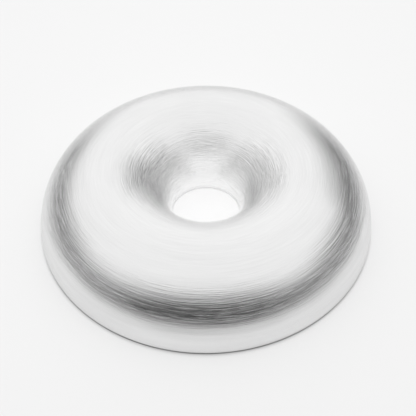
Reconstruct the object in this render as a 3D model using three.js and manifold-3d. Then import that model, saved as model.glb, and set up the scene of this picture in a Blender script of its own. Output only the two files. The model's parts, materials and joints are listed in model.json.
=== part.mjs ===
// Low-profile banding wheel, a hand-turned turntable for decorating pots.
// A half-torus shell of spun aluminium is the turning head. Its middle is open, so it turns on a large
// ring bearing hidden inside the section, above a heavy base ring on rubber feet.
// Millimetres, +Z up. The origin is the centre of the wheel at bench level, under the feet.
import * as THREE from "three";
import { mergeVertices } from "three/addons/utils/BufferGeometryUtils.js";
import Module from "manifold-3d";

const wasm = await Module();
wasm.setup();

// Driving dimensions of the shell: a half circle swept round the axis, centred at bench level.
const HEAD_RADIUS = 125;
const HOLE_RADIUS = 26;
const SHELL_THICKNESS = 1.5;
const BENCH_GAP = 1;
const SECTION_RADIUS = (HEAD_RADIUS - HOLE_RADIUS) / 2;
const PITCH_RADIUS = (HEAD_RADIUS + HOLE_RADIUS) / 2;

// Base ring and its feet.
const FOOT = { radius: 9, height: 4, circle: 104, chamfer: 0.8, recessRadius: 4.2, recessDepth: 2 };
const BASE = { inner: 38, outer: 115, thickness: 5, chamfer: 1.5, landHeight: 2.5 };
const BASE_TOP = FOOT.height + BASE.thickness;
const LAND_TOP = BASE_TOP + BASE.landHeight;

// Ring bearing: the balls run under the crown of the shell, and the outer race stands a step above the
// inner one, so that only the balls touch both.
const BALL_RADIUS = 4;
const BALL_COUNT = 14;
const GROOVE_RADIUS = 4.4;
const BALL_HEIGHT = 17.5;
const RACE_HEIGHT = 11;
const RACE_WIDTH = 12.2;
const RACE_STEP = 1;
const SHOULDER_GAP = 1.8;
const CAGE = { thickness: 2.3, bottom: 5.5, top: 3, pocketRadius: 4.4 };

// Turning stack above the bearing.
const PLATE_BOTTOM = LAND_TOP + RACE_HEIGHT + RACE_STEP;
const PLATE = { inner: 42, outer: 112, thickness: 3, chamfer: 0.5 };
const BALLAST = { inner: 51, outer: 100, thickness: 11.5, chamfer: 2 };
const PLATE_TOP = PLATE_BOTTOM + PLATE.thickness;
const BALLAST_TOP = PLATE_TOP + BALLAST.thickness;

// Fasteners. A clearance is left all round every shank, because threads are drawn as plain cylinders.
// They come in fours, and each kind starts at its own angle, in degrees.
const CLEARANCE = 0.3;
const QUARTER = { count: 4, raceStart: 0, studStart: 45, footStart: 45 };
const RACE_SCREW = {
  headRadius: 3.5,
  headHeight: 4,
  shankRadius: 2,
  socketRadius: 1.75,
  socketDepth: 2,
};
const FOOT_SCREW = {
  headRadius: 3.5,
  headHeight: 1.5,
  shankRadius: 1.5,
  socketRadius: 1.2,
  socketDepth: 0.8,
};
const INNER_SCREW = { circle: 66.3, length: 9.5, holeDepth: 8 };
const OUTER_SCREW = { circle: 84.7, length: 9 };
const FOOT_SCREW_LENGTH = 6;
const STUD = { shankRadius: 2.5, shoulderRadius: 5, circle: 94.5, belowNut: 1.5 };
const NUT = { acrossFlats: 8, height: 4 };

// Smoothness of the facets: around the shell, along its section, around the hidden rings, along a ball
// groove, around screws, studs, feet and cage pockets, and around and over a ball.
const SHELL_SEGMENTS = 64;
const SECTION_SEGMENTS = 14;
const TURN_SEGMENTS = 48;
const GROOVE_SEGMENTS = 5;
const SMALL_SEGMENTS = 10;
const FOOT_SEGMENTS = 16;
const POCKET_SEGMENTS = 16;
const HEXAGON = 6;
const BALL_SEGMENTS = { around: 10, over: 6 };

// How far a cutting tool runs past the faces it goes through.
const OVERCUT = 1;

const metal = (color, roughness) => new THREE.MeshStandardMaterial({ color, roughness, metalness: 1 });
const MATERIALS = {
  spunAluminium: metal(0xdcdcdc, 0.3),
  castIron: metal(0x3a3b3d, 0.7),
  zincSteel: metal(0xb4b6b8, 0.4),
  bearingSteel: metal(0xc6c7c9, 0.2),
  brass: metal(0xb8975a, 0.4),
  rubber: new THREE.MeshStandardMaterial({ color: 0x1c1c1c, roughness: 0.9, metalness: 0 }),
};

// Turns a closed profile of [radius, height] pairs, listed anticlockwise, round the Z axis.
function turned(profile, segments = TURN_SEGMENTS) {
  const closed = [...profile, profile[0]].map(([radius, height]) => new THREE.Vector2(radius, height));
  return new THREE.LatheGeometry(closed, segments).rotateX(Math.PI / 2);
}

// Points on an arc of a profile, both ends included, angles in degrees from the outward direction.
function arc(centreRadius, centreHeight, radius, fromAngle, toAngle, steps) {
  return Array.from({ length: steps + 1 }, (_, i) => {
    const angle = THREE.MathUtils.degToRad(fromAngle + ((toAngle - fromAngle) * i) / steps);
    return [centreRadius + radius * Math.cos(angle), centreHeight + radius * Math.sin(angle)];
  });
}

// A flat ring whose four edges are chamfered.
function chamferedRing(inner, outer, bottom, top, chamfer) {
  return [
    [inner + chamfer, bottom],
    [outer - chamfer, bottom],
    [outer, bottom + chamfer],
    [outer, top - chamfer],
    [outer - chamfer, top],
    [inner + chamfer, top],
    [inner, top - chamfer],
    [inner, bottom + chamfer],
  ];
}

// An upright cylinder between two heights.
function cylinder(radius, bottom, top, segments = SMALL_SEGMENTS) {
  return new THREE.CylinderGeometry(radius, radius, top - bottom, segments)
    .rotateX(Math.PI / 2)
    .translate(0, 0, (bottom + top) / 2);
}

function toSolid(geometry) {
  const bare = geometry.clone();
  bare.deleteAttribute("normal");
  bare.deleteAttribute("uv");
  const merged = mergeVertices(bare, 1e-4);
  return new wasm.Manifold(
    new wasm.Mesh({
      numProp: 3,
      vertProperties: merged.attributes.position.array,
      triVerts: new Uint32Array(merged.index.array),
    }),
  );
}

function toGeometry(solid) {
  const mesh = solid.getMesh();
  const geometry = new THREE.BufferGeometry();
  geometry.setAttribute("position", new THREE.BufferAttribute(mesh.vertProperties, 3));
  geometry.setIndex(new THREE.BufferAttribute(mesh.triVerts, 1));
  geometry.computeVertexNormals();
  return geometry;
}

function cut(geometry, tools) {
  const solid = tools.reduce((rest, tool) => rest.subtract(toSolid(tool)), toSolid(geometry));
  return toGeometry(solid);
}

// Copies of a cutting tool, spread evenly round a circle, starting at an angle in degrees.
function aroundCircle(makeTool, circle, count, start) {
  return Array.from({ length: count }, (_, i) => {
    const turn = THREE.MathUtils.degToRad(start + (360 * i) / count);
    return makeTool().translate(circle, 0, 0).rotateZ(turn);
  });
}

function headShell() {
  const cutAngle = THREE.MathUtils.radToDeg(Math.asin(BENCH_GAP / SECTION_RADIUS));
  const innerRadius = SECTION_RADIUS - SHELL_THICKNESS;
  const innerCutAngle = THREE.MathUtils.radToDeg(Math.asin(BENCH_GAP / innerRadius));
  return turned(
    [
      ...arc(PITCH_RADIUS, 0, SECTION_RADIUS, cutAngle, 180 - cutAngle, SECTION_SEGMENTS),
      ...arc(PITCH_RADIUS, 0, innerRadius, 180 - innerCutAngle, innerCutAngle, SECTION_SEGMENTS),
    ],
    SHELL_SEGMENTS,
  );
}

function baseRing() {
  const { inner, outer, chamfer } = BASE;
  const landInner = PITCH_RADIUS - SHOULDER_GAP - RACE_WIDTH;
  const landOuter = PITCH_RADIUS - SHOULDER_GAP - chamfer;
  const body = turned([
    [inner + chamfer, FOOT.height],
    [outer - chamfer, FOOT.height],
    [outer, FOOT.height + chamfer],
    [outer, BASE_TOP - chamfer],
    [outer - chamfer, BASE_TOP],
    [landOuter, BASE_TOP],
    [landOuter, LAND_TOP],
    [landInner, LAND_TOP],
    [landInner, BASE_TOP],
    [inner + chamfer, BASE_TOP],
    [inner, BASE_TOP - chamfer],
    [inner, FOOT.height + chamfer],
  ]);
  const seat = FOOT.height + RACE_SCREW.headHeight + CLEARANCE;
  const raceHole = () => cylinder(RACE_SCREW.shankRadius + CLEARANCE, seat - OVERCUT, LAND_TOP + OVERCUT);
  const raceHead = () => cylinder(RACE_SCREW.headRadius + CLEARANCE, FOOT.height - OVERCUT, seat);
  const footRadius = FOOT_SCREW.shankRadius + CLEARANCE;
  const footHole = () => cylinder(footRadius, FOOT.height - OVERCUT, BASE_TOP + OVERCUT);
  return cut(body, [
    ...aroundCircle(raceHole, INNER_SCREW.circle, QUARTER.count, QUARTER.raceStart),
    ...aroundCircle(raceHead, INNER_SCREW.circle, QUARTER.count, QUARTER.raceStart),
    ...aroundCircle(footHole, FOOT.circle, QUARTER.count, QUARTER.footStart),
  ]);
}

// The half angle, in degrees, that the ball groove spans at the shoulder of a race.
const GROOVE_HALF_ANGLE = THREE.MathUtils.radToDeg(Math.acos(SHOULDER_GAP / GROOVE_RADIUS));

function innerRace() {
  const outer = PITCH_RADIUS - SHOULDER_GAP;
  const inner = outer - RACE_WIDTH;
  const ring = turned([
    [inner, LAND_TOP],
    [outer, LAND_TOP],
    ...arc(
      PITCH_RADIUS,
      BALL_HEIGHT,
      GROOVE_RADIUS,
      180 + GROOVE_HALF_ANGLE,
      180 - GROOVE_HALF_ANGLE,
      GROOVE_SEGMENTS,
    ),
    [outer, LAND_TOP + RACE_HEIGHT],
    [inner, LAND_TOP + RACE_HEIGHT],
  ]);
  const holeTop = LAND_TOP + INNER_SCREW.holeDepth;
  const hole = () => cylinder(RACE_SCREW.shankRadius + CLEARANCE, LAND_TOP - OVERCUT, holeTop);
  return cut(ring, aroundCircle(hole, INNER_SCREW.circle, QUARTER.count, QUARTER.raceStart));
}

const OUTER_RACE_BOTTOM = PLATE_BOTTOM - RACE_HEIGHT;

function outerRace() {
  const inner = PITCH_RADIUS + SHOULDER_GAP;
  const outer = inner + RACE_WIDTH;
  const ring = turned([
    [inner, OUTER_RACE_BOTTOM],
    [outer, OUTER_RACE_BOTTOM],
    [outer, PLATE_BOTTOM],
    [inner, PLATE_BOTTOM],
    ...arc(
      PITCH_RADIUS,
      BALL_HEIGHT,
      GROOVE_RADIUS,
      GROOVE_HALF_ANGLE,
      -GROOVE_HALF_ANGLE,
      GROOVE_SEGMENTS,
    ),
  ]);
  const seat = OUTER_RACE_BOTTOM + RACE_SCREW.headHeight + CLEARANCE;
  const hole = () => cylinder(RACE_SCREW.shankRadius + CLEARANCE, seat - OVERCUT, PLATE_BOTTOM + OVERCUT);
  const head = () => cylinder(RACE_SCREW.headRadius + CLEARANCE, OUTER_RACE_BOTTOM - OVERCUT, seat);
  return cut(ring, [
    ...aroundCircle(hole, OUTER_SCREW.circle, QUARTER.count, QUARTER.raceStart),
    ...aroundCircle(head, OUTER_SCREW.circle, QUARTER.count, QUARTER.raceStart),
  ]);
}

// One-piece crown cage: the pockets open upwards and are narrower than a ball at the mouth.
function ballCage() {
  const inner = PITCH_RADIUS - CAGE.thickness / 2;
  const outer = PITCH_RADIUS + CAGE.thickness / 2;
  const ring = turned([
    [inner, BALL_HEIGHT - CAGE.bottom],
    [outer, BALL_HEIGHT - CAGE.bottom],
    [outer, BALL_HEIGHT + CAGE.top],
    [inner, BALL_HEIGHT + CAGE.top],
  ]);
  const pocket = () =>
    new THREE.CylinderGeometry(CAGE.pocketRadius, CAGE.pocketRadius, 3 * CAGE.thickness, POCKET_SEGMENTS)
      .rotateZ(Math.PI / 2)
      .translate(0, 0, BALL_HEIGHT);
  return cut(ring, aroundCircle(pocket, PITCH_RADIUS, BALL_COUNT, 0));
}

function headPlate() {
  const plate = turned(chamferedRing(PLATE.inner, PLATE.outer, PLATE_BOTTOM, PLATE_TOP, PLATE.chamfer));
  const screwRadius = RACE_SCREW.shankRadius + CLEARANCE;
  const screwHole = () => cylinder(screwRadius, PLATE_BOTTOM - OVERCUT, PLATE_TOP + OVERCUT);
  const studRadius = STUD.shankRadius + CLEARANCE;
  const studHole = () => cylinder(studRadius, PLATE_BOTTOM - OVERCUT, PLATE_TOP + OVERCUT);
  return cut(plate, [
    ...aroundCircle(screwHole, OUTER_SCREW.circle, QUARTER.count, QUARTER.raceStart),
    ...aroundCircle(studHole, STUD.circle, QUARTER.count, QUARTER.studStart),
  ]);
}

function ballastRing() {
  const { inner, outer, chamfer } = BALLAST;
  const ring = turned(chamferedRing(inner, outer, PLATE_TOP, BALLAST_TOP, chamfer));
  const studHole = () => cylinder(STUD.shankRadius + CLEARANCE, PLATE_TOP - OVERCUT, BALLAST_TOP + OVERCUT);
  return cut(ring, aroundCircle(studHole, STUD.circle, QUARTER.count, QUARTER.studStart));
}

// A screw that points up, with its head at the bottom and the seat of the head at height zero.
function screw({ headRadius, headHeight, shankRadius, socketRadius, socketDepth }, length) {
  const body = turned(
    [
      [0, -headHeight],
      [headRadius, -headHeight],
      [headRadius, 0],
      [shankRadius, 0],
      [shankRadius, length],
      [0, length],
    ],
    SMALL_SEGMENTS,
  );
  return cut(body, [cylinder(socketRadius, -headHeight - OVERCUT, socketDepth - headHeight, HEXAGON)]);
}

function rubberFoot() {
  const { radius, height, chamfer, recessRadius, recessDepth } = FOOT;
  const shankHole = FOOT_SCREW.shankRadius + CLEARANCE;
  return turned(
    [
      [recessRadius, 0],
      [radius - chamfer, 0],
      [radius, chamfer],
      [radius, height],
      [shankHole, height],
      [shankHole, recessDepth],
      [recessRadius, recessDepth],
    ],
    FOOT_SEGMENTS,
  );
}

// A shouldered stud: the thread goes down through the ballast and the plate, and the shoulder goes up
// to the underside of the shell, whose curve trims its top.
function shellStud() {
  const bottom = PLATE_BOTTOM - NUT.height - STUD.belowNut;
  const stud = turned(
    [
      [0, bottom],
      [STUD.shankRadius, bottom],
      [STUD.shankRadius, BALLAST_TOP],
      [STUD.shoulderRadius, BALLAST_TOP],
      [STUD.shoulderRadius, SECTION_RADIUS],
      [0, SECTION_RADIUS],
    ],
    SMALL_SEGMENTS,
  ).translate(STUD.circle, 0, 0);
  const roomRadius = SECTION_RADIUS - SHELL_THICKNESS - CLEARANCE;
  const room = turned(arc(PITCH_RADIUS, 0, roomRadius, 0, 180, SECTION_SEGMENTS), SHELL_SEGMENTS);
  const trimmed = toSolid(stud).intersect(toSolid(room));
  return toGeometry(trimmed).translate(-STUD.circle, 0, 0);
}

function studNut() {
  const corner = NUT.acrossFlats / 2 / Math.cos(Math.PI / HEXAGON);
  const hexagon = cylinder(corner, -NUT.height, 0, HEXAGON).rotateZ(Math.PI / HEXAGON);
  return cut(hexagon, [cylinder(STUD.shankRadius + CLEARANCE, -NUT.height - OVERCUT, OVERCUT)]);
}

function addPiece(group, name, geometry, material) {
  const mesh = new THREE.Mesh(geometry, material);
  mesh.name = name;
  group.add(mesh);
  return mesh;
}

// Adds numbered copies of one piece, spread evenly round a circle at one height.
function addCircle(group, name, geometry, material, { circle, height, count, start, digits = 1 }) {
  for (let i = 0; i < count; i += 1) {
    const turn = THREE.MathUtils.degToRad(start + (360 * i) / count);
    const mesh = addPiece(group, `${name}_${String(i + 1).padStart(digits, "0")}`, geometry, material);
    mesh.position.set(circle * Math.cos(turn), circle * Math.sin(turn), height);
    mesh.rotation.z = turn;
  }
}

function makeBase() {
  const base = new THREE.Group();
  addPiece(base, "base_ring", baseRing(), MATERIALS.castIron);
  addPiece(base, "inner_race", innerRace(), MATERIALS.bearingSteel);
  addCircle(base, "inner_race_screw", screw(RACE_SCREW, INNER_SCREW.length), MATERIALS.zincSteel, {
    circle: INNER_SCREW.circle,
    height: FOOT.height + RACE_SCREW.headHeight + CLEARANCE,
    count: QUARTER.count,
    start: QUARTER.raceStart,
  });
  const feet = { circle: FOOT.circle, count: QUARTER.count, start: QUARTER.footStart };
  addCircle(base, "rubber_foot", rubberFoot(), MATERIALS.rubber, { ...feet, height: 0 });
  addCircle(base, "foot_screw", screw(FOOT_SCREW, FOOT_SCREW_LENGTH), MATERIALS.zincSteel, {
    ...feet,
    height: FOOT.recessDepth,
  });
  return base;
}

function makeBallTrain() {
  const train = new THREE.Group();
  addPiece(train, "ball_cage", ballCage(), MATERIALS.brass);
  const ball = new THREE.SphereGeometry(BALL_RADIUS, BALL_SEGMENTS.around, BALL_SEGMENTS.over);
  addCircle(train, "ball", ball, MATERIALS.bearingSteel, {
    circle: PITCH_RADIUS,
    height: BALL_HEIGHT,
    count: BALL_COUNT,
    start: 0,
    digits: 2,
  });
  return train;
}

function makeHead() {
  const head = new THREE.Group();
  addPiece(head, "head_shell", headShell(), MATERIALS.spunAluminium);
  addPiece(head, "head_plate", headPlate(), MATERIALS.zincSteel);
  addPiece(head, "ballast_ring", ballastRing(), MATERIALS.castIron);
  addPiece(head, "outer_race", outerRace(), MATERIALS.bearingSteel);
  addCircle(head, "outer_race_screw", screw(RACE_SCREW, OUTER_SCREW.length), MATERIALS.zincSteel, {
    circle: OUTER_SCREW.circle,
    height: OUTER_RACE_BOTTOM + RACE_SCREW.headHeight + CLEARANCE,
    count: QUARTER.count,
    start: QUARTER.raceStart,
  });
  const studs = { circle: STUD.circle, count: QUARTER.count, start: QUARTER.studStart };
  addCircle(head, "shell_stud", shellStud(), MATERIALS.zincSteel, { ...studs, height: 0 });
  addCircle(head, "stud_nut", studNut(), MATERIALS.zincSteel, { ...studs, height: PLATE_BOTTOM });
  return head;
}

const wheel = new THREE.Group();
wheel.name = "banding_wheel";
wheel.add(makeBase(), makeBallTrain(), makeHead());

export default wheel;
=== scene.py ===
"""Looks of the low-profile banding wheel: brushed ring head, studio floor, soft light and camera."""

import json
import math

import bmesh
import bpy
from mathutils import Matrix, Vector


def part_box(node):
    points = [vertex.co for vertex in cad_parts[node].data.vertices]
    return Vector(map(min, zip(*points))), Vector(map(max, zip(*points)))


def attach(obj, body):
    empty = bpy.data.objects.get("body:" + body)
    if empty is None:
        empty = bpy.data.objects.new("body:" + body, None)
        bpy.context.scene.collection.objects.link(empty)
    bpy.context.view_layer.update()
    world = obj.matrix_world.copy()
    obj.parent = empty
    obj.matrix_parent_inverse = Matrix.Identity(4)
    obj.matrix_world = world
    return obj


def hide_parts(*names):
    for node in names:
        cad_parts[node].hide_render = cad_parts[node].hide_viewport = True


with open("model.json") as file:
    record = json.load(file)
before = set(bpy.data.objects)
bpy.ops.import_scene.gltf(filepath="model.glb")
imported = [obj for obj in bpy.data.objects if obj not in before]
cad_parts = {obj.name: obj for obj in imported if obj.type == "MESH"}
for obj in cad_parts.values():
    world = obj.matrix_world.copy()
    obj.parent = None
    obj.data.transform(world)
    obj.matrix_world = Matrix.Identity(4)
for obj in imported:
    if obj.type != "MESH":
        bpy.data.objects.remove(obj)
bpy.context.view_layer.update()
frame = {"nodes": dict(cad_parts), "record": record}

MM = 0.001

# The shell: a half circle swept round the axis and trimmed above the bench.
HEAD_RADIUS = 0.125
HOLE_RADIUS = 0.026
SHELL_THICKNESS = 1.5 * MM
BENCH_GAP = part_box("head_shell")[0].z
SECTION_RADIUS = (HEAD_RADIUS - HOLE_RADIUS) / 2
CROWN_RADIUS = (HEAD_RADIUS + HOLE_RADIUS) / 2

# Which body each node belongs to.
BODIES = frame["record"]["behaviour"]["bodies"]
NODE_BODY = {node: body for body, nodes in BODIES.items() for node in nodes}

# Sizes of details that the frame's boxes don't give.
CLEARANCE = 0.3 * MM
OVERCUT = 1.0 * MM
LEAD_IN = 0.4 * MM
EDGE_FILLET = 0.35 * MM
BASE_THICKNESS = 5.0 * MM
BASE_CHAMFER = 1.5 * MM
BASE_FILLET = 0.8 * MM
PLATE_CHAMFER = 0.5 * MM
PLATE_FILLET = 0.25 * MM
BALLAST_CHAMFER = 2.0 * MM
GROOVE_RADIUS = 4.4 * MM
SHOULDER_GAP = 1.8 * MM
TAPPED_DEPTH = 8.0 * MM
POCKET_RADIUS = 4.4 * MM
CAGE_CUT_REACH = 3.5 * MM
STUD_SHANK = 2.5 * MM
STUD_SHOULDER = 5.0 * MM
STUD_PITCH = 0.8 * MM
STUD_THREAD = 7.5 * MM
NUT_FLATS = 8.0 * MM
NUT_FACE = 0.95
NUT_CHAMFER = math.radians(30.0)
FOOT_RADIUS = 9.0 * MM
FOOT_FILLET = 1.4 * MM
FOOT_RECESS = 4.2 * MM
FOOT_RECESS_DEPTH = 2.0 * MM
FOOT_GROOVES = (5.6 * MM, 6.9 * MM)
GRIP_WIDTH = 0.6 * MM
GRIP_DEPTH = 0.5 * MM
GRIP_FILLET = 0.1 * MM
KNURL_DEPTH = 0.18 * MM
SOCKET_SCREW = {
    "head": 3.5 * MM,
    "head_height": 4.0 * MM,
    "shank": 2.0 * MM,
    "socket": 1.75 * MM,
    "depth": 2.0 * MM,
    "pitch": 0.7 * MM,
    "edge": 0.4 * MM,
    "knurled": True,
}
FOOT_SCREW = {
    "head": 3.5 * MM,
    "head_height": 1.5 * MM,
    "shank": 1.5 * MM,
    "socket": 1.2 * MM,
    "depth": 0.8 * MM,
    "pitch": 0.5 * MM,
    "edge": 0.7 * MM,
    "knurled": False,
}

# Shares of a thread's pitch: its depth, and where a screw's thread starts past the head.
THREAD_DEPTH = 0.5
THREAD_START = 1.5

# Slope of a thread's flanks, and how much of each crest and root is flat.
THREAD_SLOPE = 1.3
THREAD_FLAT = 0.15

# Shares of a screw's rounded edge: its middle point, and the ends of the knurl. Then the width of the
# cone at the bottom of a socket, and the rings that close a stud's top, as shares of their radius.
ROUND_MIDDLE = 0.3
KNURL_START = 1.1
KNURL_END = 0.6
SOCKET_CONE = 0.6
STUD_TOP_RINGS = (1.0, 0.85, 0.5)

# Smoothness of the fine pieces, and how sharp an edge stays crisp.
SHELL_TURNS = 288
OUTSIDE_STEPS = 96
INSIDE_STEPS = 32
EDGE_STEPS = 6
RING_TURNS = 192
SMALL_TURNS = 48
FILLET_STEPS = 4
GROOVE_STEPS = 24
NUT_CHAMFER_STEPS = 6
THREAD_STEPS = 6
BALL_CUTS = 11
SHARP_EDGE = math.radians(32.0)

# Noise lies mostly between these values: a ramp over them uses all of its range.
NOISE = (0.3, 0.7)
MIDDLE_NOISE = (0.35, 0.65)

# Brush lines on the shell are noise drawn out round the axis. The larger arc is, the shorter a line,
# and the larger across is, the finer. Lathe lines are drawn out in the same way.
HAIRLINES = {"arc": 2.4, "across": 90.0, "detail": 2.0, "roughness": 0.6}
LONG_LINES = {"arc": 1.0, "across": 60.0}
DASHES = {"arc": 7.0, "across": 105.0}
# Streaks for the colour of the hole's side walls: a painted reflection of their streaked gloss.
PAINTED_STREAK_LINES = {"arc": 3.0, "across": 120.0}
BROAD_BANDS = {"arc": 2.2, "across": 11.0}
DASH_SHARE = 0.4
HAIRLINE_HEIGHT = 0.4
LINE_HEIGHT = 0.5
DASH_HEIGHT = 0.5
BRUSH_RELIEF = 0.21 * MM
LATHE_ARC = 3.0

# Where the shell's finish and its painted light change. A section angle is 0 at the outer edge, a quarter
# turn on the crown and a half turn at the hole, in radians. FRONT and SIDES are parts of the unit
# direction from the axis.
FRONT = (-0.5, -0.95)
SIDES = (0.5, 0.95)
OUTER_EDGE = (0.38, 0.62)
OUTER_EDGE_DEPTH = 0.05
CALM_FRONT = (0.74, 0.92)
CALM_SHARE = 0.45
CROWN_START = (0.95, 1.25)
CROWN_END = (1.95, 1.65)
CROWN_DEPTH = 0.4
SIDE_DEPTH = 1.4
INNER_WALL = (1.75, 2.2)
INNER_WALL_DEPTH = 1.5
# Where the hole's side walls get painted reflection streaks, and where its near lip gets painted light.
PAINTED_STREAK_WALL = (1.80, 2.05)
NEAR_LIP = (1.95, 2.2)

# How light and how rough the shell's metal is, with its painted reflection streaks and painted light.
SHELL_TONE = (0.82, 0.88)
PAINTED_STREAK_TONE = (0.74, 0.94)
# Painted light on the near lip of the hole.
PAINTED_LIP_LIGHT = 0.06
SHELL_ROUGHNESS = (0.17, 0.25)
SHELL_ANISOTROPY = 0.95
QUARTER_TURN = 0.25

# Camera, in head radii and degrees, with the shift of the base centre from the middle of the frame.
CAMERA_DISTANCE = 4.413
CAMERA_ELEVATION = 47.74
CAMERA_LENS = 62.0
CAMERA_SENSOR = 36.0
CAMERA_SHIFT = (0.0119, 0.0248)

# The light table: how white it is, how much it glows, and where that changes, in metres, with its painted
# light and shade.
PAPER_WHITE = 0.93
PAPER_ALBEDO = 0.45
PAPER_GLOW = 0.29
# Painted light: more glow in the hole, and more again where the metal mirrors it.
HOLE_PAINTED_GLOW = 0.345
HOLE_PAINTED_REFLECTION = 0.50
# Painted light under the shell's inner rim, fading out to painted shade under the rest of the shell.
RIM_PAINTED_GLOW = 0.75
PAINTED_SHADE_FADE = (0.04, 0.09)
RIM_FADE = 0.6 * MM
FLOOR_RADIUS = 8.0
FAR_REACH = (0.4, 2.2)
FAR_GLOW = 0.70
# An oval round the wheel: beyond it, the paper is painted dark for mirrored rays only.
TABLE_MIDDLE = 0.10
TABLE_NARROW = 1.4
TABLE_EDGE = (0.40, 0.75)
PAINTED_REFLECTION_ALBEDO = 0.10

# The studio round it: how bright each part is. A slope is the rise over run of a ceiling's edge, and a
# fade is where a part starts and where it is full, as a share of the unit direction towards it.
CEILING_FRONT_SLOPE = 0.95
CEILING_LEFT_SLOPE = 0.40
CEILING_RIGHT_SLOPE = 0.49
CEILING_FRONT_FADE = (-0.18, 0.30)
CEILING_SIDE_FADE = (-0.20, 0.25)
CEILING_RISE = (0.3, 1.0)
CEILING_FRONT_LIGHT = 1.0
CEILING_BACK_LIGHT = 1.06
BACK_WALL_FADE = (0.76, 0.99)
GAP_SIDE_FADE = (0.4, 1.0)
GAP_FRONT_LIGHT = 0.0
GAP_SIDE_LIGHT = 0.12
SCREEN_TOWARDS = (0.60, 0.73, 0.33)
SCREEN_FADE = (0.90, 0.985)
SCREEN_LIGHT = 0.6
SMALLEST = 1e-4
FILL_SIZE = 0.5
FILL_ENERGY = 16.7
FILL_PLACE = (0.0, 0.2, 1.6)

# The hole card: its lower part, the cup, lines the near wall of the hole. Spreads are in degrees to
# each side of the front: the glow starts to fade at the core and ends at the spread.
CARD_STEPS = 48
CARD_CLEARANCE = 0.4 * MM
CARD_RADIUS = 0.060
CARD_TOP = 0.126
CARD_SIDE_TOP = 0.100
CARD_FADE = 0.075
CARD_SPREAD = 100.0
CARD_CORE = 62.0
CARD_LIGHT = 1.08
CUP_HEIGHTS = (0.001, 0.006, 0.012, 0.018, 0.024, 0.030, 0.034)
CUP_FOOT = (0.009, 0.018)
CUP_TOP = (0.030, 0.050)
CUP_SPREAD = 60.0
CUP_CORE = 30.0


# ---------------------------------------------------------------- node helpers


class Nodes:
    """A short way to build a node tree. The methods that name a sum or a pattern add the nodes for it and
    return their output socket."""

    def __init__(self, tree):
        self.tree = tree
        tree.nodes.clear()

    def add(self, kind, **settings):
        made = self.tree.nodes.new(kind)
        for name, value in settings.items():
            setattr(made, name, value)
        return made

    def plug(self, value, socket):
        if isinstance(value, bpy.types.NodeSocket):
            self.tree.links.new(value, socket)
        elif value is not None:
            socket.default_value = value

    def plug_all(self, values, sockets):
        for value, socket in zip(values, sockets):
            self.plug(value, socket)

    def math(self, operation, first, second=None):
        made = self.add("ShaderNodeMath", operation=operation)
        self.plug_all((first, second), made.inputs)
        return made.outputs[0]

    def product(self, first, *others):
        for other in others:
            first = self.math("MULTIPLY", first, other)
        return first

    def vector(self, operation, first, second, output="Vector"):
        made = self.add("ShaderNodeVectorMath", operation=operation)
        self.plug_all((first, second), made.inputs)
        return made.outputs[output]

    def dot(self, first, second):
        return self.vector("DOT_PRODUCT", first, second, "Value")

    def combine(self, x, y, z):
        made = self.add("ShaderNodeCombineXYZ")
        self.plug_all((x, y, z), made.inputs)
        return made.outputs[0]

    def separate(self, vector):
        made = self.add("ShaderNodeSeparateXYZ")
        self.plug(vector, made.inputs[0])
        return made.outputs

    def length(self, x, y):
        return self.math("SQRT", self.math("ADD", self.product(x, x), self.product(y, y)))

    def ramp(self, value, low, high, start=0.0, end=1.0, smooth=True):
        kind = "SMOOTHSTEP" if smooth else "LINEAR"
        made = self.add("ShaderNodeMapRange", interpolation_type=kind)
        self.plug_all((value, low, high, start, end), made.inputs)
        return made.outputs[0]

    def mix(self, share, first, second):
        made = self.add("ShaderNodeMix", data_type="FLOAT")
        self.plug_all((share, first, second), (made.inputs[0], made.inputs[2], made.inputs[3]))
        return made.outputs[0]

    def blend_colours(self, share, first, second):
        made = self.add("ShaderNodeMix", data_type="RGBA")
        self.plug_all((share, first, second), (made.inputs[0], made.inputs[6], made.inputs[7]))
        return made.outputs[2]

    def tint(self, share, first, second):
        return self.blend_colours(share, (*first, 1.0), (*second, 1.0))

    def grey(self, value):
        made = self.add("ShaderNodeCombineColor")
        self.plug_all((value, value, value), made.inputs)
        return made.outputs[0]

    def noise(self, vector, detail, roughness, scale=1.0):
        made = self.add("ShaderNodeTexNoise", noise_dimensions="3D")
        self.plug(vector, made.inputs["Vector"])
        made.inputs["Scale"].default_value = scale
        made.inputs["Detail"].default_value = detail
        made.inputs["Roughness"].default_value = roughness
        return made.outputs["Fac"]

    def place(self):
        return self.add("ShaderNodeTexCoord").outputs["Object"]

    def ray(self, kind):
        return self.add("ShaderNodeLightPath").outputs[kind]


def new_material(name):
    material = bpy.data.materials.new(name)
    material.use_nodes = True
    nodes = Nodes(material.node_tree)
    surface = nodes.add("ShaderNodeBsdfPrincipled")
    output = nodes.add("ShaderNodeOutputMaterial")
    nodes.plug(surface.outputs[0], output.inputs["Surface"])
    return material, nodes, surface


def raise_surface(nodes, surface, height, distance):
    bump = nodes.add("ShaderNodeBump")
    bump.inputs["Distance"].default_value = distance
    nodes.plug(height, bump.inputs["Height"])
    nodes.plug(bump.outputs[0], surface.inputs["Normal"])


def around_axis(nodes):
    """Where a point lies on a turned part: its unit direction from the axis, its radius and its height."""
    x, y, height = nodes.separate(nodes.place())
    radius = nodes.length(x, y)
    return nodes.math("DIVIDE", x, radius), nodes.math("DIVIDE", y, radius), radius, height


def streaks(nodes, spot, arc, across, detail=1.0, roughness=0.5):
    """Noise drawn out round the axis. A spot is the unit direction from the axis and a place across."""
    x, y, place_across = spot
    drawn_out = nodes.combine(
        nodes.product(x, arc),
        nodes.product(y, arc),
        nodes.product(place_across, across),
    )
    return nodes.noise(drawn_out, detail, roughness)


# ---------------------------------------------------------------- brushed shell


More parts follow.
